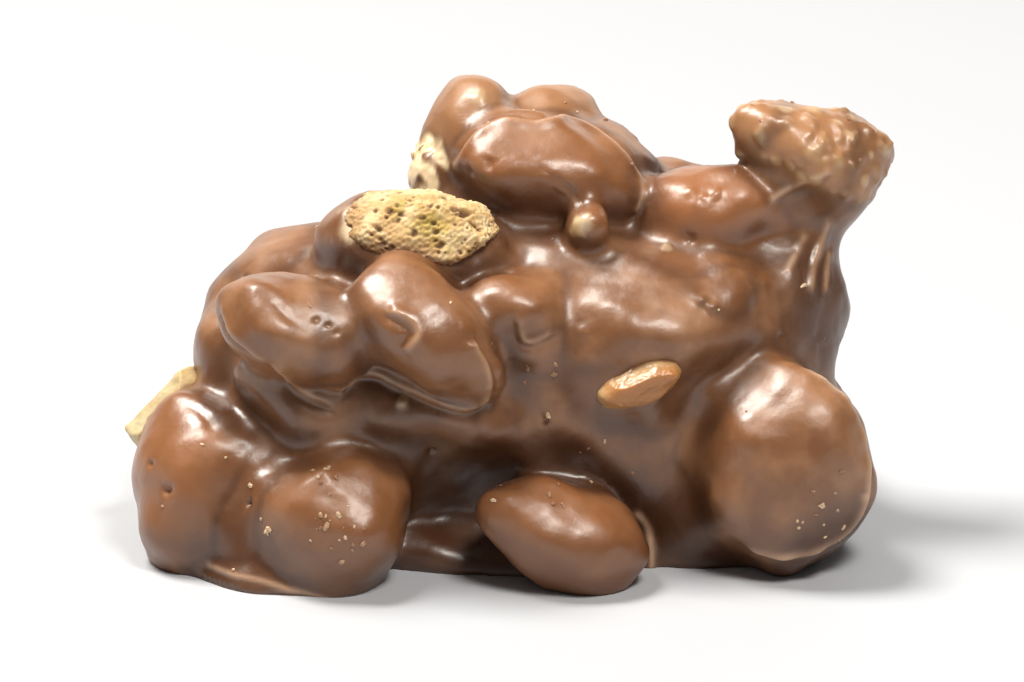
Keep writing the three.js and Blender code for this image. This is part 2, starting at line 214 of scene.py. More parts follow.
# lips where one run of chocolate ends on another: the lip drops off on the right of its path
lips = [
    {"path": [(-17.1, 1.6), (-16.6, 0.4), (-15.4, -0.6), (-14.0, -1.4), (-12.9, -2.6), (-11.9, -3.2),
              (-10.8, -3.6)], "height": 0.26, "drop": 0.2, "pale": 0.5},
    {"path": [(-10.0, -2.7), (-9.2, -1.9), (-8.0, -1.8), (-6.9, -2.5), (-5.4, -3.1), (-3.9, -3.7),
              (-2.8, -4.0), (-1.7, -3.7), (-1.3, -2.9), (-1.4, -1.7), (-2.2, -0.3)],
     "height": 0.28, "drop": 0.2, "pale": 0.6},
    {"path": [(17.6, -1.8), (19.0, -2.7), (20.2, -4.1), (20.9, -5.8), (21.15, -7.4), (21.0, -9.0),
              (20.3, -10.8), (19.1, -12.1), (17.5, -12.7), (15.8, -12.8), (14.4, -12.5)][::-1],
     "height": 0.28, "drop": 0.1, "pale": 1.0, "band": 0.35},
    {"path": [(7.4, 7.9), (7.9, 8.9), (7.2, 10.2), (6.5, 11.2), (5.4, 12.3), (4.2, 12.9), (2.6, 13.3),
              (0.8, 13.3), (-0.8, 13.1), (-2.0, 12.5), (-2.9, 11.6), (-3.4, 10.4)],
     "height": 0.2, "drop": 0.12, "pale": 0.6},
    {"path": [(-17.8, -13.3), (-16.6, -13.8), (-15.2, -14.1), (-13.8, -14.4), (-12.2, -14.7), (-10.6, -15.0)],
     "height": 0.14, "pale": 0.9, "band": 0.16},
    {"path": [(8.2, -13.6), (8.3, -12.9), (8.2, -11.8), (8.0, -10.9), (7.5, -10.3)],
     "height": 0.22, "pale": 0.9},
    {"path": [(15.5, 8.5), (16.3, 9.0), (17.3, 9.5), (18.6, 10.0)], "height": 0.2, "drop": 0.05,
     "pale": 1.0},
    {"path": [(17.2, 6.0), (16.7, 5.1), (16.3, 4.2)], "height": 0.16, "pale": 0.8},
    {"path": [(18.6, 6.8), (18.1, 5.6), (17.8, 4.4), (17.6, 3.2)], "height": 0.2, "pale": 0.8},
    {"path": [(18.7, 5.0), (18.6, 4.2), (18.5, 3.2)], "height": 0.16, "pale": 0.8},
    {"path": [(-6.9, 1.7), (-6.0, 1.3), (-5.4, 0.4), (-6.1, -0.4)], "height": 0.22, "drop": 0.2, "pale": 0.7},
    {"path": [(0.5, 1.0), (0.6, 0.1), (1.2, -0.1), (2.0, 0.4)], "height": 0.16, "drop": 0.1, "pale": 0.4},
]

# single bumps and dents seen from the front: place, radius, height, and how bare the nut is there
dabs = [
    {"at": (-20.5, -8.8), "radius": 0.35, "height": -0.35},
    {"at": (-1.5, 10.3), "radius": 0.45, "height": -0.3},
    {"at": (-2.5, 10.0), "radius": 0.3, "height": -0.2},
    {"at": (-1.9, 14.3), "radius": 0.5, "height": 0.15, "bare": 0.3},
    {"at": (-9.2, 6.9), "radius": 1.0, "height": 0.0, "bare": 0.8},
    {"at": (3.9, 6.9), "radius": 0.6, "height": 0.0, "bare": 0.85},
    {"at": (10.6, 8.9), "radius": 0.3, "height": 0.1},
    {"at": (11.3, 8.5), "radius": 0.35, "height": 0.12},
    {"at": (10.9, 8.1), "radius": 0.3, "height": 0.08},
    {"at": (12.0, 8.7), "radius": 0.3, "height": 0.1},
    {"at": (-11.5, 1.4), "radius": 0.17, "height": -0.1},
    {"at": (-10.8, 1.0), "radius": 0.18, "height": -0.12},
    {"at": (-10.3, 0.5), "radius": 0.15, "height": -0.08},
    {"at": (4.1, 0.6), "radius": 0.35, "height": 0.12},
    {"at": (9.1, 5.4), "radius": 0.35, "height": 0.14, "bare": 0.3},
    {"at": (11.2, 2.4), "radius": 0.4, "height": 0.25},
    {"at": (11.9, 2.0), "radius": 0.35, "height": 0.25},
    {"at": (-6.5, -3.6), "radius": 0.4, "height": 0.3, "bare": 0.4},
    {"at": (-11.1, -7.9), "radius": 0.4, "height": 0.2},
]


# the bare pieces: the same places, sizes and dents as the solids, with finer shapes of their own
barePuff = nut(-5.4, -3.9, 19.5, [4.7, 3.1, 2.3], 6, rough=0.3, flats=[
    across((0.1, -0.85, 0.5), 2.1), across((0.6, -0.25, -0.76), 2.7), across((-0.3, -0.29, -0.91), 2.1)]) | {
    "subdivisions": 7,
    "crags": 0.07, "cragWaves": (1.5, 33),          # height of the broken crumb's larger lumps
    "crumbs": 0.035, "crumbWaves": (0.3, 35, 30),   # and smaller ones, of 30 waves
    "pores": 230, "poreSizes": (0.05, 0.2), "poreDepth": 0.9,
    "poreUneven": 0.3, "poreWaves": (0.5, 31),
    "poreDark": 0.85, "poreDarkReach": 0.85,        # painted shade: how dark a pore is, and how far out
    "dipShade": 0.2, "dipOver": (0.04, 0.12),        # painted shade: how dark the dips between the lumps are
    "bigPores": [((-2.8, 7.6), 0.42), ((-3.4, 7.8), 0.3), ((-7.2, 7.7), 0.3), ((-5.8, 6.3), 0.22),
                 ((-4.5, 6.4), 0.2), ((-4.2, 5.7), 0.24), ((-1.9, 6.6), 0.2), ((-6.6, 7.5), 0.2),
                 ((-5.2, 7.3), 0.18), ((-6.1, 8.4), 0.2), ((-3.9, 8.5), 0.2)],
    "olive": [((-4.8, 6.8), 1.2), ((-6.8, 8.0), 0.6)],
    "oliveMost": 0.75, "oliveUneven": 0.3, "oliveWaves": (0.9, 37),
    "stain": 0.8, "stainOver": (0.05, 0.5), "stainUneven": 0.15,    # chocolate round its edge
}
amberChip = nut(7.4, -8.7, 11.7, [2.6, 1.4, 1.2], -22, rough=0.1, flats=[
    across((-0.35, -0.45, 0.82), 0.95), across((0.25, -0.9, -0.35), 1.0)]) | {
    "subdivisions": 6,
    "grains": 0.03, "grainWaves": (1.1, 43),
    "fineGrains": 0.01, "fineGrainWaves": (0.35, 45, 40),
    "shadeOver": (0.2, 0.9),    # painted shade: how far down its lower flat it turns to the deep tone
    "film": 0.9, "filmReach": 0.35,     # chocolate that crept over its edge
}
creamChip = nut(-20.0, -0.8, 7.2, [3.0, 2.3, 3.4], -35, rough=0.08, breaks=[
    across((-0.70, -0.42, 0.57), 1.72), across((-0.61, 0.51, 0.61), 1.26)]) | {
    "subdivisions": 5,
    "voxel": 0.09,
    "chips": 0.03, "chipWaves": (0.9, 47),
    "fineChips": 0.012, "fineChipWaves": (0.35, 49),
    "film": 1.0, "filmReach": 0.3,
}
bareParts = [barePuff, amberChip, creamChip]
filmEdge = {"uneven": 0.12, "waves": (1.2, 41)}     # of the chocolate on both nut chips


def turnOf(one):
    lean = Matrix.Rotation(math.radians(one["lean"]), 3, "Y")
    yaw = Matrix.Rotation(math.radians(one["yaw"]), 3, "Z")
    return np.array(yaw @ lean)


for one in lumps + bareParts:
    one["turn"] = turnOf(one)


def bent(points):
    x, y, z = points.T
    wide, wideRate = coat["bendWide"], coat["bendWideRate"]
    fine, fineRate = coat["bendFine"], coat["bendFineRate"]
    return points + np.stack([
        wide * np.sin(wideRate * (y + 0.6 * z) + 0.7) + fine * np.sin(fineRate * (z + 0.75 * y)),
        wide * np.sin(wideRate * (z + 0.7 * x) + 2.1) + fine * np.sin(fineRate * (x + 0.8 * z) + 1.0),
        wide * np.sin(wideRate * (x + 0.65 * y) + 4.0) + fine * np.sin(fineRate * (y + 0.9 * x) + 2.0),
    ], axis=1)


def lumpDistance(points, one):
    local = (points - one["at"]) @ one["turn"]
    near = np.linalg.norm(local / one["half"], axis=1)
    steep = np.linalg.norm(local / one["half"] ** 2, axis=1)
    return near * (near - 1) / np.maximum(steep, 1e-9)


tooFar = 3.0        # a lump further off than this doesn't matter,
farAway = 9.0       # and this is noted as its distance


def lumpDistances(points):
    bentPoints = bent(points)
    table = np.full((len(lumps), len(points)), farAway)
    for row, one in zip(table, lumps):
        close = np.abs(bentPoints - one["at"]).max(axis=1) < one["half"].max() + tooFar
        row[close] = lumpDistance(bentPoints[close], one)
    return table


def joined(table):
    total = table[0].copy()
    for row, one in zip(table[1:], lumps[1:]):
        overlap = np.maximum(one["blend"] - np.abs(total - row), 0) / one["blend"]
        total = np.minimum(total, row) - overlap ** 2 * one["blend"] / 4
    return total


def skinDistance(points):
    return joined(lumpDistances(points))


# places that the view shows
def skinTree(points, mesh):
    return BVHTree.FromPolygons(points.tolist(), [face.vertices[:] for face in mesh.polygons])


def seen(tree, place):
    # the spot on a skin that the view shows at a place, and the skin's way out there
    aim = target + Vector((place[0], 0, 0)) + sightUp * place[1]
    spot, out, _, _ = tree.ray_cast(eye, (aim - eye).normalized())
    return spot, out


def rounded(path, passes=2):
    # cuts a path's corners and keeps its ends
    for _ in range(passes):
        cut = [a + (b - a) * share for a, b in zip(path, path[1:]) for share in (0.25, 0.75)]
        path = [path[0], *cut, path[-1]]
    return path


def trail(tree, path, step=0.12, jump=2.0):
    # a path laid on the skin: its spots, and the way across it at each, to the path's right
    spots, outs = [], []
    corners = rounded([np.array(place) for place in path])
    for a, b in zip(corners, corners[1:]):
        for share in np.arange(0, 1, step / max(np.linalg.norm(b - a), step)):
            spot, out = seen(tree, a + (b - a) * share)
            if spot and (not spots or (spot - spots[-1]).length < jump):
                spots.append(spot)
                outs.append(out)
    spots = np.array(spots)
    sides = np.cross(np.gradient(spots, axis=0), np.array(outs))
    return spots, sides / np.maximum(np.linalg.norm(sides, axis=1), 1e-9)[:, None]


def nearest(points, spots, reach):
    # the points within reach of any spot, the number of the nearest spot to each, and the gap
    tree = KDTree(len(spots))
    for number, spot in enumerate(spots):
        tree.insert(spot, number)
    tree.balance()
    low, high = np.min(spots, axis=0) - reach, np.max(spots, axis=0) + reach
    rows = np.flatnonzero(((points > low) & (points < high)).all(axis=1))
    found = [tree.find(points[row])[1:] for row in rows]
    number = np.array([one[0] for one in found], dtype=int)
    gap = np.array([one[1] for one in found])
    close = gap < reach
    return rows[close], number[close], gap[close]


# mesh helpers
def waves(points, length, seed, count=14):
    # smooth unevenness of about one wave in each length, between about -1 and 1
    draw = np.random.default_rng(seed)
    ways = draw.normal(size=(count, 3))
    ways /= np.linalg.norm(ways, axis=1)[:, None]
    ways *= (2 * math.pi / length * draw.uniform(0.6, 1.4, count))[:, None]
    return np.sin(points @ ways.T + draw.uniform(0, 2 * math.pi, count)).sum(axis=1) / math.sqrt(count)


def smoothStep(value, low, high):
    t = np.clip((value - low) / (high - low), 0, 1)
    return t * t * (3 - 2 * t)


def readPoints(mesh):
    flat = np.empty(len(mesh.vertices) * 3)
    mesh.vertices.foreach_get("co", flat)
    return flat.reshape(-1, 3) / mm


def writePoints(mesh, points):
    mesh.vertices.foreach_set("co", (points * mm).ravel())
    mesh.update()


def readNormals(mesh):
    mesh.update()
    flat = np.empty(len(mesh.vertices) * 3)
    mesh.vertex_normals.foreach_get("vector", flat)
    return flat.reshape(-1, 3)


def addMask(mesh, name, values):
    mask = mesh.attributes.new(name, "FLOAT", "POINT")
    mask.data.foreach_set("value", values.astype(np.float32))


def meshFromBmesh(name, bm):
    bmesh.ops.recalc_face_normals(bm, faces=bm.faces)
    mesh = bpy.data.meshes.new(name)
    bm.to_mesh(mesh)
    bm.free()
    return mesh


def addObject(name, mesh, material, smooth=True):
    mesh.materials.clear()
    mesh.materials.append(material)
    if smooth:
        mesh.shade_smooth()
    else:
        mesh.shade_flat()
    obj = bpy.data.objects.new(name, mesh)
    bpy.context.collection.objects.link(obj)
    return obj


def remeshed(name, mesh, voxel):
    obj = bpy.data.objects.new(name, mesh)
    bpy.context.collection.objects.link(obj)
    remesh = obj.modifiers.new("skin", "REMESH")
    remesh.mode = "VOXEL"
    remesh.voxel_size = voxel * mm
    graph = bpy.context.evaluated_depsgraph_get()
    result = bpy.data.meshes.new_from_object(obj.evaluated_get(graph))
    bpy.data.objects.remove(obj)
    bpy.data.meshes.remove(mesh)
    result.name = name
    return result


# materials
def newMaterial(name):
    material = bpy.data.materials.new(name)
    material.use_nodes = True
    tree = material.node_tree
    return material, tree.nodes, tree.links, tree.nodes["Principled BSDF"]


def colour(red, green, blue):
    # a screen colour, 0 to 255, as the renderer's linear one
    def linear(c):
        c /= 255
        return c / 12.92 if c <= 0.04045 else ((c + 0.055) / 1.055) ** 2.4
    return linear(red), linear(green), linear(blue), 1.0


def readMask(nodes, name):
    mask = nodes.new("ShaderNodeAttribute")
    mask.attribute_name = name
    return mask.outputs["Fac"]


def mixColour(nodes, links, factor, first, second):
    mix = nodes.new("ShaderNodeMix")
    mix.data_type = "RGBA"
    for name, kind, value in (("Factor", "VALUE", factor), ("A", "RGBA", first), ("B", "RGBA", second)):
        socket = next(s for s in mix.inputs if s.name == name and s.type == kind)
        if isinstance(value, bpy.types.NodeSocket):
            links.new(value, socket)
        else:
            socket.default_value = value
    return next(s for s in mix.outputs if s.type == "RGBA")


def ramp(nodes, links, value, low, high, bottom=0.0, top=1.0):
    span = nodes.new("ShaderNodeMapRange")
    span.interpolation_type = "SMOOTHSTEP"
    span.inputs["From Min"].default_value = low
    span.inputs["From Max"].default_value = high
    span.inputs["To Min"].default_value = bottom
    span.inputs["To Max"].default_value = top
    links.new(value, span.inputs["Value"])
    return span.outputs["Result"]


def grainGroup():
    # uneven tone and height at two sizes, read from the object's own coordinates in metres
    group = bpy.data.node_groups.new("sweetGrain", "ShaderNodeTree")
    group.interface.new_socket("Coarse", in_out="INPUT", socket_type="NodeSocketFloat")
    group.interface.new_socket("Fine", in_out="INPUT", socket_type="NodeSocketFloat")
    group.interface.new_socket("Tone", in_out="OUTPUT", socket_type="NodeSocketFloat")
    group.interface.new_socket("Height", in_out="OUTPUT", socket_type="NodeSocketFloat")
    nodes, links = group.nodes, group.links
    given = nodes.new("NodeGroupInput")
    out = nodes.new("NodeGroupOutput")
    where = nodes.new("ShaderNodeTexCoord")
    for socket, source, detail in (("Tone", "Coarse", 3.0), ("Height", "Fine", 4.0)):
        noise = nodes.new("ShaderNodeTexNoise")
        noise.inputs["Detail"].default_value = detail
        links.new(where.outputs["Object"], noise.inputs["Vector"])
        links.new(given.outputs[source], noise.inputs["Scale"])
        links.new(noise.outputs["Fac"], out.inputs[socket])
    return group


grain = grainGroup()


def placeGrain(nodes, coarse, fine):
    # scales in waves a metre, roughly: the coarse one tints and the fine one is relief
    node = nodes.new("ShaderNodeGroup")
    node.node_tree = grain
    node.inputs["Coarse"].default_value = coarse
    node.inputs["Fine"].default_value = fine
    return node.outputs["Tone"], node.outputs["Height"]


def addBump(nodes, links, shader, height, strength, distance):
    bump = nodes.new("ShaderNodeBump")
    bump.inputs["Strength"].default_value = strength
    bump.inputs["Distance"].default_value = distance
    links.new(height, bump.inputs["Height"])
    links.new(bump.outputs["Normal"], shader.inputs["Normal"])


chocolateFinish = {
    "milk": colour(120, 78, 47),
    "pale": colour(150, 106, 72),
    "thin": colour(148, 94, 54),
    # a tan tone: partly the top lumps' paler coat, partly painted light on the tops
    "tan": colour(170, 122, 82),
    "bare": colour(232, 210, 172),
    "straw": colour(204, 174, 122),
    "edge": colour(196, 158, 128),
    # the dark tone that paints shade in creases, hollows, near the foot and on shaded lumps
    "deep": colour(66, 36, 20),
    "grain": (360.0, 1500.0),
    "paleOver": (0.38, 0.72),   # how the grain turns milk to pale,
    "strawOver": (0.45, 0.65),  # a bare nut to straw,
    "dullOver": (0.3, 0.7),     # and the coat from its glossiest to its dullest
    "roughness": (0.33, 0.47),
}


def chocolateMaterial():
    material, nodes, links, shader = newMaterial("milkChocolate")
    look = chocolateFinish
    tone, height = placeGrain(nodes, *look["grain"])
    tint = mixColour(nodes, links, ramp(nodes, links, tone, *look["paleOver"]), look["milk"], look["pale"])
    # the tan tone is partly painted light on the top lumps, and the deep one is painted shade
    for name in ("thin", "tan", "deep", "edge"):
        tint = mixColour(nodes, links, readMask(nodes, name), tint, look[name])
    strawShare = ramp(nodes, links, tone, *look["strawOver"])
    nutTint = mixColour(nodes, links, strawShare, look["bare"], look["straw"])
    tint = mixColour(nodes, links, readMask(nodes, "bare"), tint, nutTint)
    links.new(tint, shader.inputs["Base Color"])
    dullness = ramp(nodes, links, tone, *look["dullOver"], *look["roughness"])
    links.new(dullness, shader.inputs["Roughness"])
    shader.inputs["IOR"].default_value = 1.5
    shader.inputs["Specular IOR Level"].default_value = 0.7
    shader.inputs["Coat Weight"].default_value = 0.15
    shader.inputs["Coat Roughness"].default_value = 0.22
    shader.inputs["Subsurface Weight"].default_value = 0.12
    shader.inputs["Subsurface Radius"].default_value = (1.0, 0.45, 0.2)
    shader.inputs["Subsurface Scale"].default_value = 0.0012
    addBump(nodes, links, shader, height, strength=0.35, distance=0.0001)
    return material


def softSkin(shader, weight, reach, roughness):
    # light that soaks in: red furthest, in metres
    shader.inputs["Subsurface Weight"].default_value = weight
    shader.inputs["Subsurface Radius"].default_value = (1.0, 0.55, 0.25)
    shader.inputs["Subsurface Scale"].default_value = reach
    shader.inputs["Roughness"].default_value = roughness


puffFinish = {
    "crumb": colour(200, 164, 112),
    "cream": colour(216, 190, 146),
    "olive": colour(174, 150, 60),
    # a dark tone painted as shade in the pores and the dips
    "poreShade": colour(84, 50, 27),
    "stain": colour(126, 82, 52),
    "grain": (900.0, 3500.0),
    "creamOver": (0.4, 0.62),
}


def puffMaterial():
    material, nodes, links, shader = newMaterial("bareCrumb")
    look = puffFinish
    tone, height = placeGrain(nodes, *look["grain"])
    tint = mixColour(nodes, links, ramp(nodes, links, tone, *look["creamOver"]), look["crumb"], look["cream"])
    # olive and stain are the crumb's own colours; the pore tone is painted shade
    for name in ("olive", "stain", "poreShade"):
        tint = mixColour(nodes, links, readMask(nodes, name), tint, look[name])
    links.new(tint, shader.inputs["Base Color"])
    softSkin(shader, weight=0.2, reach=0.0008, roughness=0.75)
    addBump(nodes, links, shader, height, strength=0.6, distance=0.0001)
    return material


amberFinish = {
    "light": colour(184, 148, 104),
    # a darker tone, for the grain's random patches and for painted shade on the lower flat
    "deep": colour(172, 118, 70),
    "film": colour(122, 80, 54),
    "grain": (420.0, 1800.0),
    "deepOver": (0.38, 0.62),
}


def amberMaterial():
    material, nodes, links, shader = newMaterial("amberNut")
    look = amberFinish
    tone, height = placeGrain(nodes, *look["grain"])
    tint = mixColour(nodes, links, ramp(nodes, links, tone, *look["deepOver"]), look["light"], look["deep"])
    # painted shade on the lower flat
    tint = mixColour(nodes, links, readMask(nodes, "shade"), tint, look["deep"])
    tint = mixColour(nodes, links, readMask(nodes, "film"), tint, look["film"])
    links.new(tint, shader.inputs["Base Color"])
    softSkin(shader, weight=0.35, reach=0.0012, roughness=0.32)
    addBump(nodes, links, shader, height, strength=0.3, distance=0.00008)
    return material


creamFinish = {
    "white": colour(208, 192, 152),
    "straw": colour(190, 164, 116),
    "film": colour(140, 98, 72),
    "grain": (500.0, 2600.0),
    "strawOver": (0.42, 0.7),
}


def creamMaterial():
    material, nodes, links, shader = newMaterial("creamNut")
    look = creamFinish
    tone, height = placeGrain(nodes, *look["grain"])
    tint = mixColour(nodes, links, ramp(nodes, links, tone, *look["strawOver"]), look["white"], look["straw"])
    tint = mixColour(nodes, links, readMask(nodes, "film"), tint, look["film"])
    links.new(tint, shader.inputs["Base Color"])
    softSkin(shader, weight=0.25, reach=0.001, roughness=0.5)
    addBump(nodes, links, shader, height, strength=0.35, distance=0.00008)
    return material


crumbFinish = {
    "biscuit": colour(214, 184, 150),
    "coated": colour(150, 108, 80),
    "grain": (700.0, 4000.0),
    "biscuitOver": (0.42, 0.56),
}


def crumbMaterial():
    material, nodes, links, shader = newMaterial("looseCrumb")
    look = crumbFinish
    tone, height = placeGrain(nodes, *look["grain"])
    biscuitShare = ramp(nodes, links, tone, *look["biscuitOver"])
    tint = mixColour(nodes, links, biscuitShare, look["coated"], look["biscuit"])
    links.new(tint, shader.inputs["Base Color"])
    softSkin(shader, weight=0.1, reach=0.0005, roughness=0.55)
    addBump(nodes, links, shader, height, strength=0.5, distance=0.00005)
    return material


# the chocolate
def lumpsMesh():
    bm = bmesh.new()
    for one in lumps:
        turn = Matrix(one["turn"].tolist()).to_4x4()
        place = Matrix.Translation(one["at"] * mm) @ turn @ Matrix.Diagonal((*(one["half"] * mm), 1))
        bmesh.ops.create_icosphere(bm, subdivisions=4, radius=1.0, matrix=place)
    return meshFromBmesh("lumps", bm)


def settleOnSkin(mesh, passes, step=0.05, flattest=0.4, furthest=0.6):
    # moves a mesh's points along their normals to where the lumps' joined skin lies
    points = readPoints(mesh)
    for _ in range(passes):
        writePoints(mesh, points)
        way = readNormals(mesh)
        here = skinDistance(points)
        slope = (skinDistance(points + way * step) - here) / step
        move = np.clip(here / np.maximum(slope, flattest), -furthest, furthest)
        points = points - way * move[:, None]
    return points


def ownShare(table, index, reach):
    # 1 on a lump's own skin, fading to 0 a reach further out
    return np.clip(1 - (table[index] - table.min(axis=0)) / reach, 0, 1)


def finishShare(table, key):
    # how strongly the nearest lumps have a finish, painted shade and painted light among them, blended across
    # the creases
    weight = np.exp(-(table - table.min(axis=0)) / coat["finishBlend"])
    amount = np.array([one.get(key, 0.0) for one in lumps])
    return amount @ weight / weight.sum(axis=0)


def wornShare(points, table):
    # where the coat has rubbed off, with a torn edge
    torn = 1 + coat["wornUneven"] * waves(points, *coat["wornEdgeWaves"])
    return smoothStep(finishShare(table, "worn") * torn, *coat["wornOver"])


def seamRelief(points, table):
    # raised edges where a plane across a nut meets its skin
    raised = np.zeros(len(points))
    bentPoints = bent(points)
    for index, one in enumerate(lumps):
        for line in one.get("seams", []):
            off = (bentPoints - one["at"]) @ line["toward"] - line["out"]
            profile = np.exp(-(off / np.where(off > 0, *coat["seamWidths"])) ** 2)
            own = ownShare(table, index, coat["seamReach"])
            raised = np.maximum(raised, coat["seamHeight"] * profile * own)
    return raised


def flatRelief(points, ways, table):
    # presses a nut's skin back towards a plane across it
    raised = np.zeros(len(points))
    for index, one in enumerate(lumps):
        for flat in one.get("flats", []):
            off = (points - one["at"]) @ flat["toward"] - flat["out"]
            proud = (off + np.hypot(off, coat["flatSoft"])) / 2
            facing = np.maximum(ways @ flat["toward"], 0)
            own = ownShare(table, index, coat["flatReach"])
            raised -= (1 - coat["flatKeep"]) * proud * facing * own
    return raised


def lipRelief(points, tree):
    # how far the lips raise the skin, and how much of each point is a lip's thin edge
    raised, edge = np.zeros(len(points)), np.zeros(len(points))
    broken = 1 - coat["lipUneven"] + coat["lipUneven"] * waves(points, *coat["lipWaves"])
    for lip in lips:
        spots, sides = trail(tree, lip["path"])
        rows, number, gap = nearest(points, spots, coat["lipReach"])
        off = ((points[rows] - spots[number]) * sides[number]).sum(axis=1)
        ends = np.exp(-((gap - np.abs(off)) / coat["lipEnd"]) ** 2)
        crest = np.exp(-(off / np.where(off > 0, *coat["lipWidths"])) ** 2)
        drop = np.exp(-((off - coat["lipDropOut"]) / coat["lipDropWidth"]) ** 2)
        raised[rows] += ends * (lip["height"] * crest * broken[rows] - lip.get("drop", 0) * drop)
        band = np.exp(-(off / lip.get("band", coat["lipBand"])) ** 2)
        edge[rows] = np.maximum(edge[rows], ends * lip["pale"] * band * broken[rows])
    return raised, edge


def lipSpots(tree):
    return [spot for lip in lips for spot in trail(tree, lip["path"])[0]]


def rimRelief(points):
    # chocolate that creeps up round each bare piece
    raised = np.zeros(len(points))
    uneven = 1 - coat["rimUneven"] + coat["rimUneven"] * waves(points, *coat["rimWaves"])
    for piece in bareParts:
        profile = np.exp(-((lumpDistance(points, piece) - coat["rimOut"]) / coat["rimWidth"]) ** 2)
        raised += coat["rimHeight"] * profile * uneven
    return raised


def randomSpots(points, ways, table, count, key=None):
    # seeded spots on the skin, all over or on the nuts that have a finish, clear of the foot
    chance = (points[:, 2] > coat["spotsAbove"]) * (ways[:, 2] > coat["spotsFacing"])
    if key:
        chance = chance * (finishShare(table, key) > 0.5)
    rows = rng.choice(len(points), count, replace=False, p=chance / chance.sum())
    return points[rows]


def allDabs(points, ways, table, tree):
    found = [{**dab, "at": np.array(seen(tree, dab["at"])[0])} for dab in dabs]
    for spot in randomSpots(points, ways, table, coat["crumbBumps"], "bumpy"):
        radius = rng.uniform(*coat["crumbBumpRadius"])
        height = radius * rng.uniform(*coat["crumbBumpSteep"])
        found.append({"at": spot, "radius": radius, "height": height,
                      "bare": rng.choice(coat["crumbBumpBare"])})
    for spot in randomSpots(points, ways, table, coat["looseBumps"]):
        found.append({"at": spot, "radius": rng.uniform(*coat["looseBumpRadius"]),
                      "height": rng.uniform(*coat["looseBumpHeight"])})
    for spot in randomSpots(points, ways, table, coat["pinholes"]):
        found.append({"at": spot, "radius": rng.uniform(*coat["pinholeRadius"]),
                      "height": -rng.uniform(*coat["pinholeDepth"])})
    return found


def dabRelief(points, found):
    raised, bare = np.zeros(len(points)), np.zeros(len(points))
    uneven = 1 + coat["dabUneven"] * waves(points, *coat["dabWaves"])
    for dab in found:
        rows = np.flatnonzero((np.abs(points - dab["at"]) < 3 * dab["radius"]).all(axis=1))
        share = np.linalg.norm(points[rows] - dab["at"], axis=1) / dab["radius"] * uneven[rows]
        raised[rows] += dab["height"] * np.exp(-share ** 2)
        bare[rows] = np.maximum(bare[rows], dab.get("bare", 0) * np.exp(-share ** 4))
    return raised, bare


def refined(mesh, rows):
    # halves the facets between the marked points
    bm = bmesh.new()
    bm.from_mesh(mesh)
    marked = set(rows.tolist())
    edges = [e for e in bm.edges if e.verts[0].index in marked and e.verts[1].index in marked]
    bmesh.ops.subdivide_edges(bm, edges=edges, cuts=1, use_grid_fill=True)
    bpy.data.meshes.remove(mesh)
    return meshFromBmesh("chocolateCluster", bm)


def deepShare(points, ways, table, crease):
    # painted shade: the darkening of the creases, the hollows and the foot
    inCrease = shade["crease"] * (1 - smoothStep(crease, *shade["creaseOver"]))
    nearby = 1 - skinDistance(points + shade["hollowReach"] * ways) / shade["hollowReach"]
    inHollow = shade["hollow"] * smoothStep(nearby, *shade["hollowOver"])
    deep = np.max([inCrease, inHollow, finishShare(table, "deep")], axis=0)
    atFoot = shade["foot"] * (1 - smoothStep(points[:, 2], *shade["footOver"]))
    return np.minimum(deep + atFoot, shade["most"])


def chocolatePiece():
    rough = remeshed("rough", lumpsMesh(), coat["voxel"] * coat["roughVoxel"])
    writePoints(rough, settleOnSkin(rough, passes=3))
    mesh = remeshed("chocolateCluster", rough, coat["voxel"])
    points = settleOnSkin(mesh, passes=1)
    writePoints(mesh, points)
    tree = skinTree(points, mesh)
    table = lumpDistances(points)
    found = allDabs(points, readNormals(mesh), table, tree)
    marks = lipSpots(tree) + [dab["at"] for dab in found] + list(points[wornShare(points, table) > 0.5])
    mesh = refined(mesh, nearest(points, marks, coat["fineReach"])[0])
    points = settleOnSkin(mesh, passes=2)
    writePoints(mesh, points)
    ways = readNormals(mesh)
    table = lumpDistances(points)

    lipRaised, lipEdge = lipRelief(points, tree)
    dabRaised, dabBare = dabRelief(points, found)
    seamRaised = seamRelief(points, table)
    raised = coat["wobble"] * waves(points, *coat["wobbleWaves"])
    raised += coat["ripple"] * waves(points, *coat["rippleWaves"])
    raised += flatRelief(points, ways, table) + seamRaised + lipRaised + dabRaised + rimRelief(points)
    worn = wornShare(points, table)
    raised -= worn * (coat["wornDepth"] + coat["wornCrumb"] * waves(points, *coat["wornCrumbWaves"]))
    foot = coat["footLip"] * np.exp(-(np.maximum(points[:, 2], 0) / coat["footLipRise"]) ** 2)
    points = points + ways * (raised + foot)[:, None]
    points[:, 2] = np.maximum(points[:, 2], 0)
    writePoints(mesh, points)

    ranked = np.sort(table, axis=0)
    crease = ranked[1] - ranked[0]
    least = coat["thinInCrease"]
    thinness = least + (1 - least) * smoothStep(crease, *coat["thinOver"])
    seamPale = coat["seamPale"] * smoothStep(seamRaised, coat["seamPaleFrom"], coat["seamHeight"])
    addMask(mesh, "thin", finishShare(table, "thin") * thinness)
    # partly the top lumps' paler coat, partly painted light on them
    addMask(mesh, "tan", finishShare(table, "tan"))
    # painted shade in the creases, the hollows, near the foot and on the shaded lumps
    addMask(mesh, "deep", deepShare(points, ways, table, crease))
    addMask(mesh, "edge", np.maximum(lipEdge, seamPale))
    addMask(mesh, "bare", np.maximum(worn, dabBare))
    return addObject("chocolateCluster", mesh, chocolateMaterial())


chocolate = chocolatePiece()
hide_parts("chocolate")
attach(chocolate, "root")
print("chocolate:", len(chocolate.data.polygons), "faces")


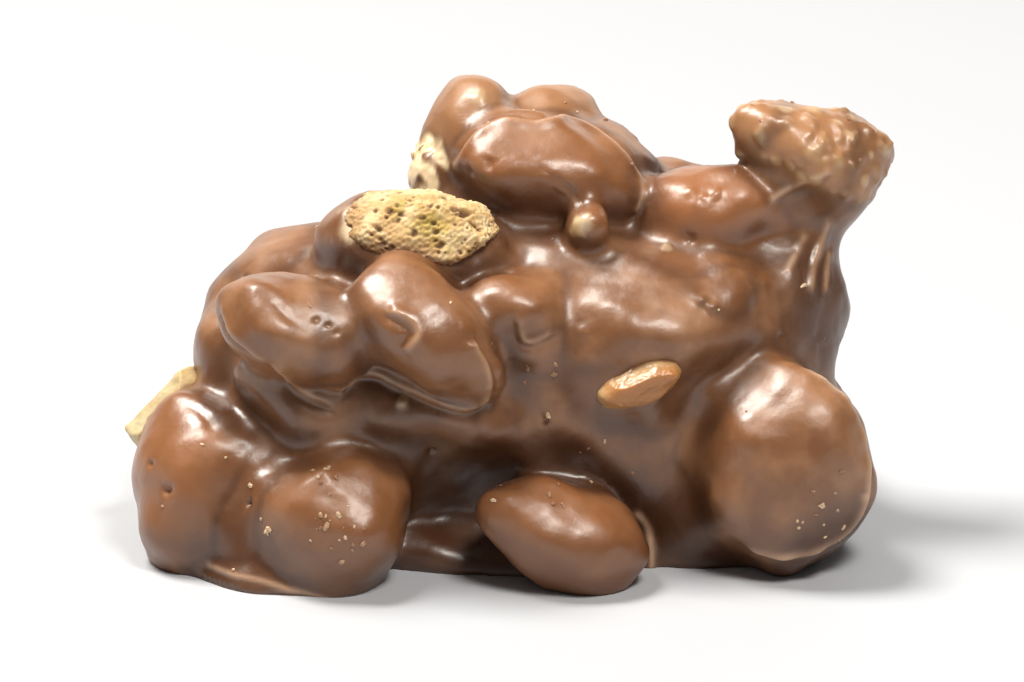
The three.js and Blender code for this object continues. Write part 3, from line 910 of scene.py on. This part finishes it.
# the bare pieces
def dented(ball, piece):
    # the solid's own shape: a ball, in units of the half sizes, with shallow dents
    x, y, z = ball.T
    dent = np.sin(5.1 * x + 1.3) * np.sin(4.3 * y + 0.4) * np.sin(4.7 * z + 2.2)
    return (ball * (piece["half"] + piece["rough"] * dent[:, None])) @ piece["turn"].T + piece["at"]


def ballMesh(name, piece):
    bm = bmesh.new()
    bmesh.ops.create_icosphere(bm, subdivisions=piece["subdivisions"], radius=1.0)
    mesh = meshFromBmesh(name, bm)
    ball = readPoints(mesh) * mm        # its radius is 1
    writePoints(mesh, dented(ball, piece))
    return mesh


def pressFlats(points, piece, keep=0.2):
    # cuts the proud part beyond each flat down to a share of its height
    for flat in piece["flats"]:
        proud = np.maximum((points - piece["at"]) @ flat["toward"] - flat["out"], 0)
        points = points - (1 - keep) * proud[:, None] * flat["toward"]
    return points


def pitted(points, pits):
    # depth of round pits, each a place and a radius, and how far into one each point is
    depth, share = np.zeros(len(points)), np.zeros(len(points))
    uneven = 1 + barePuff["poreUneven"] * waves(points, *barePuff["poreWaves"])
    for spot, radius in pits:
        far = np.linalg.norm(points - spot, axis=1) / radius * uneven
        depth = np.maximum(depth, radius * barePuff["poreDepth"] * np.exp(-far ** 3))
        share = np.maximum(share, np.exp(-(far / barePuff["poreDarkReach"]) ** 4))
    return depth, share


def puffPiece():
    piece = barePuff
    mesh = ballMesh("barePuff", piece)
    points = pressFlats(readPoints(mesh), piece)
    writePoints(mesh, points)
    tree = skinTree(points, mesh)
    pits = [(np.array(seen(tree, place)[0]), radius) for place, radius in piece["bigPores"]]
    for row in rng.choice(len(points), piece["pores"], replace=False):
        pits.append((points[row], rng.uniform(*piece["poreSizes"])))
    depth, poreShade = pitted(points, pits)
    crags = piece["crags"] * waves(points, *piece["cragWaves"])
    crags += piece["crumbs"] * waves(points, *piece["crumbWaves"])
    ways = readNormals(mesh)
    points = points + ways * (crags - depth)[:, None]
    writePoints(mesh, points)
    olive = np.zeros(len(points))
    uneven = 1 + piece["oliveUneven"] * waves(points, *piece["oliveWaves"])
    for place, radius in piece["olive"]:
        far = np.linalg.norm(points - np.array(seen(tree, place)[0]), axis=1) / radius
        olive = np.maximum(olive, np.exp(-(far * uneven) ** 2))
    dips = piece["dipShade"] * smoothStep(-crags, *piece["dipOver"])
    proud = skinDistance(points) + piece["stainUneven"] * crags
    addMask(mesh, "olive", piece["oliveMost"] * olive)
    # painted shade in the pores and in the dips between the crumb's lumps
    addMask(mesh, "poreShade", np.clip(piece["poreDark"] * poreShade + dips, 0, 1))
    addMask(mesh, "stain", piece["stain"] * (1 - smoothStep(proud, *piece["stainOver"])))
    return addObject("barePuff", mesh, puffMaterial())


def filmShare(points, piece):
    # how far chocolate has crept over a nut chip from the skin it sits in
    proud = skinDistance(points) + filmEdge["uneven"] * waves(points, *filmEdge["waves"])
    return piece["film"] * (1 - smoothStep(proud, 0.0, piece["filmReach"]))


def amberPiece():
    piece = amberChip
    mesh = ballMesh("amberChip", piece)
    points = pressFlats(readPoints(mesh), piece)
    writePoints(mesh, points)
    grains = piece["grains"] * waves(points, *piece["grainWaves"])
    grains += piece["fineGrains"] * waves(points, *piece["fineGrainWaves"])
    points = points + readNormals(mesh) * grains[:, None]
    writePoints(mesh, points)
    # painted shade: the lower flat, which faces down, turns darker
    lowerFlat = piece["flats"][1]
    low = (points - piece["at"]) @ lowerFlat["toward"]
    addMask(mesh, "shade", smoothStep(low, *piece["shadeOver"]))
    addMask(mesh, "film", filmShare(points, piece))
    return addObject("amberChip", mesh, amberMaterial())


def creamPiece():
    piece = creamChip
    bm = bmesh.new()
    bm.from_mesh(ballMesh("creamBall", piece))
    for side in piece["breaks"]:
        place = Vector(piece["at"] + side["toward"] * side["out"]) * mm
        cut = bmesh.ops.bisect_plane(bm, geom=bm.verts[:] + bm.edges[:] + bm.faces[:], plane_co=place,
                                     plane_no=Vector(side["toward"]), clear_outer=True)
        rim = [item for item in cut["geom_cut"] if isinstance(item, bmesh.types.BMEdge)]
        bmesh.ops.edgeloop_fill(bm, edges=rim)
    mesh = remeshed("creamChip", meshFromBmesh("creamCut", bm), piece["voxel"])
    points = readPoints(mesh)
    chips = piece["chips"] * waves(points, *piece["chipWaves"])
    chips += piece["fineChips"] * waves(points, *piece["fineChipWaves"])
    points = points + readNormals(mesh) * chips[:, None]
    writePoints(mesh, points)
    addMask(mesh, "film", filmShare(points, piece))
    return addObject("creamChip", mesh, creamMaterial())


for make, node, slot in ((puffPiece, "bare_puff", "puff_crumb"), (amberPiece, "amber_chip", "amber_nut"),
                         (creamPiece, "cream_chip", "cream_nut")):
    piece = make()
    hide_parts(node)
    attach(piece, "root")
    print(piece.name + ":", len(piece.data.polygons), "faces")

# crumbs that stuck to the coat
crumbs = {
    "sizes": (0.05, 0.13),      # half sizes
    "grades": [0.7, 1.0, 1.3],  # and what some of them are multiplied by
    "lengths": (0.9, 2.0), "heights": (0.5, 0.8),   # a crumb's shape, as shares of its size
    "turn": (0, 6.3), "tilt": (-0.5, 0.5),
    "ragged": 0.16, "lift": 0.2,                    # shares of its size as well
    "scattered": 70,
    "above": 1.0, "facing": -0.2,       # the scattered ones keep clear of the foot and of overhangs
    # where, how far spread and how many
    "piles": [((-10.3, -11.4), 0.825, 26), ((18.6, -10.4), 0.88, 14), ((-14.6, -10.9), 0.385, 4),
              ((-11.3, -8.2), 0.385, 6), ((3.6, -7.6), 1.1, 7), ((1.8, -2.0), 0.66, 4)],
}


def crumbSpots(tree, mesh):
    spots = []
    for place, spread, count in crumbs["piles"]:
        for spot in rng.normal(place, spread, (count, 2)):
            spots.append(seen(tree, spot))
    points, ways = readPoints(mesh), readNormals(mesh)
    chance = (points[:, 2] > crumbs["above"]) * (ways[:, 2] > crumbs["facing"])
    for row in rng.choice(len(points), crumbs["scattered"], replace=False, p=chance / chance.sum()):
        spots.append((Vector(points[row]), Vector(ways[row])))
    return [(spot, out) for spot, out in spots if spot]


def crumbsPiece():
    mesh = chocolate.data
    tree = skinTree(readPoints(mesh), mesh)
    bm = bmesh.new()
    for spot, out in crumbSpots(tree, mesh):
        size = rng.uniform(*crumbs["sizes"]) * rng.choice(crumbs["grades"]) * mm
        lie = out.to_track_quat("Z", "Y").to_matrix().to_4x4()
        turn = Matrix.Rotation(rng.uniform(*crumbs["turn"]), 4, "Z")
        tilt = Matrix.Rotation(rng.uniform(*crumbs["tilt"]), 4, "X")
        length, height = rng.uniform(*crumbs["lengths"]), rng.uniform(*crumbs["heights"])
        shape = Matrix.Diagonal((size * length, size, size * height, 1))
        place = Matrix.Translation(spot * mm + out * size * crumbs["lift"])
        made = bmesh.ops.create_icosphere(bm, subdivisions=2, radius=1.0,
                                          matrix=place @ lie @ turn @ tilt @ shape)
        for vert in made["verts"]:
            vert.co += Vector(rng.normal(0, crumbs["ragged"], 3)) * size
    return addObject("looseCrumbs", meshFromBmesh("looseCrumbs", bm), crumbMaterial(), smooth=False)


looseCrumbs = crumbsPiece()
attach(looseCrumbs, "root")
print("crumbs:", len(looseCrumbs.data.polygons), "faces")

# floor, light and camera
stage = {
    "floor": colour(189, 192, 198),
    "sky": colour(250, 249, 247),
    "skyStrength": 0.13,
    "lampColour": (1.0, 0.955, 0.88),
    "softboxes": [              # name, place, width, depth, power
        ("overheadSoftbox", (-0.17, 0.05, 0.41), 0.15, 0.15, 2.9),
        ("frontWindow", (0.115, -0.19, 0.36), 0.11, 0.11, 1.3),
        ("backPanel", (0.0, 0.55, 0.17), 0.9, 0.3, 1.2),
    ],
}


def floorMaterial():
    material, nodes, links, shader = newMaterial("paleFloor")
    shader.inputs["Base Color"].default_value = stage["floor"]
    shader.inputs["Roughness"].default_value = 0.6
    return material


def addFloor():
    bm = bmesh.new()
    bmesh.ops.create_grid(bm, x_segments=2, y_segments=2, size=3.0)
    floor = addObject("floor", meshFromBmesh("floor", bm), floorMaterial())


def addSoftbox(name, place, width, depth, power):
    light = bpy.data.lights.new(name, "AREA")
    light.shape = "RECTANGLE"
    light.size, light.size_y = width, depth
    light.energy = power
    light.color = stage["lampColour"]
    obj = bpy.data.objects.new(name, light)
    obj.location = place
    obj.rotation_euler = (target * mm - Vector(place)).to_track_quat("-Z", "Y").to_euler()
    bpy.context.collection.objects.link(obj)


def addWorld():
    world = bpy.data.worlds.new("studio")
    bpy.context.scene.world = world
    world.use_nodes = True
    sky = world.node_tree.nodes["Background"]
    sky.inputs["Color"].default_value = stage["sky"]
    sky.inputs["Strength"].default_value = stage["skyStrength"]


def addCamera():
    lens = bpy.data.cameras.new("camera")
    lens.lens = sight["lens"]
    lens.sensor_width = 36.0
    lens.clip_start = 0.01
    camera = bpy.data.objects.new("camera", lens)
    camera.location = eye * mm
    camera.rotation_euler = (target - eye).to_track_quat("-Z", "Y").to_euler()
    bpy.context.collection.objects.link(camera)
    bpy.context.scene.camera = camera


addFloor()
for softbox in stage["softboxes"]:
    addSoftbox(*softbox)
addWorld()
addCamera()
bpy.context.scene.view_settings.view_transform = "Standard"
print("stage set")
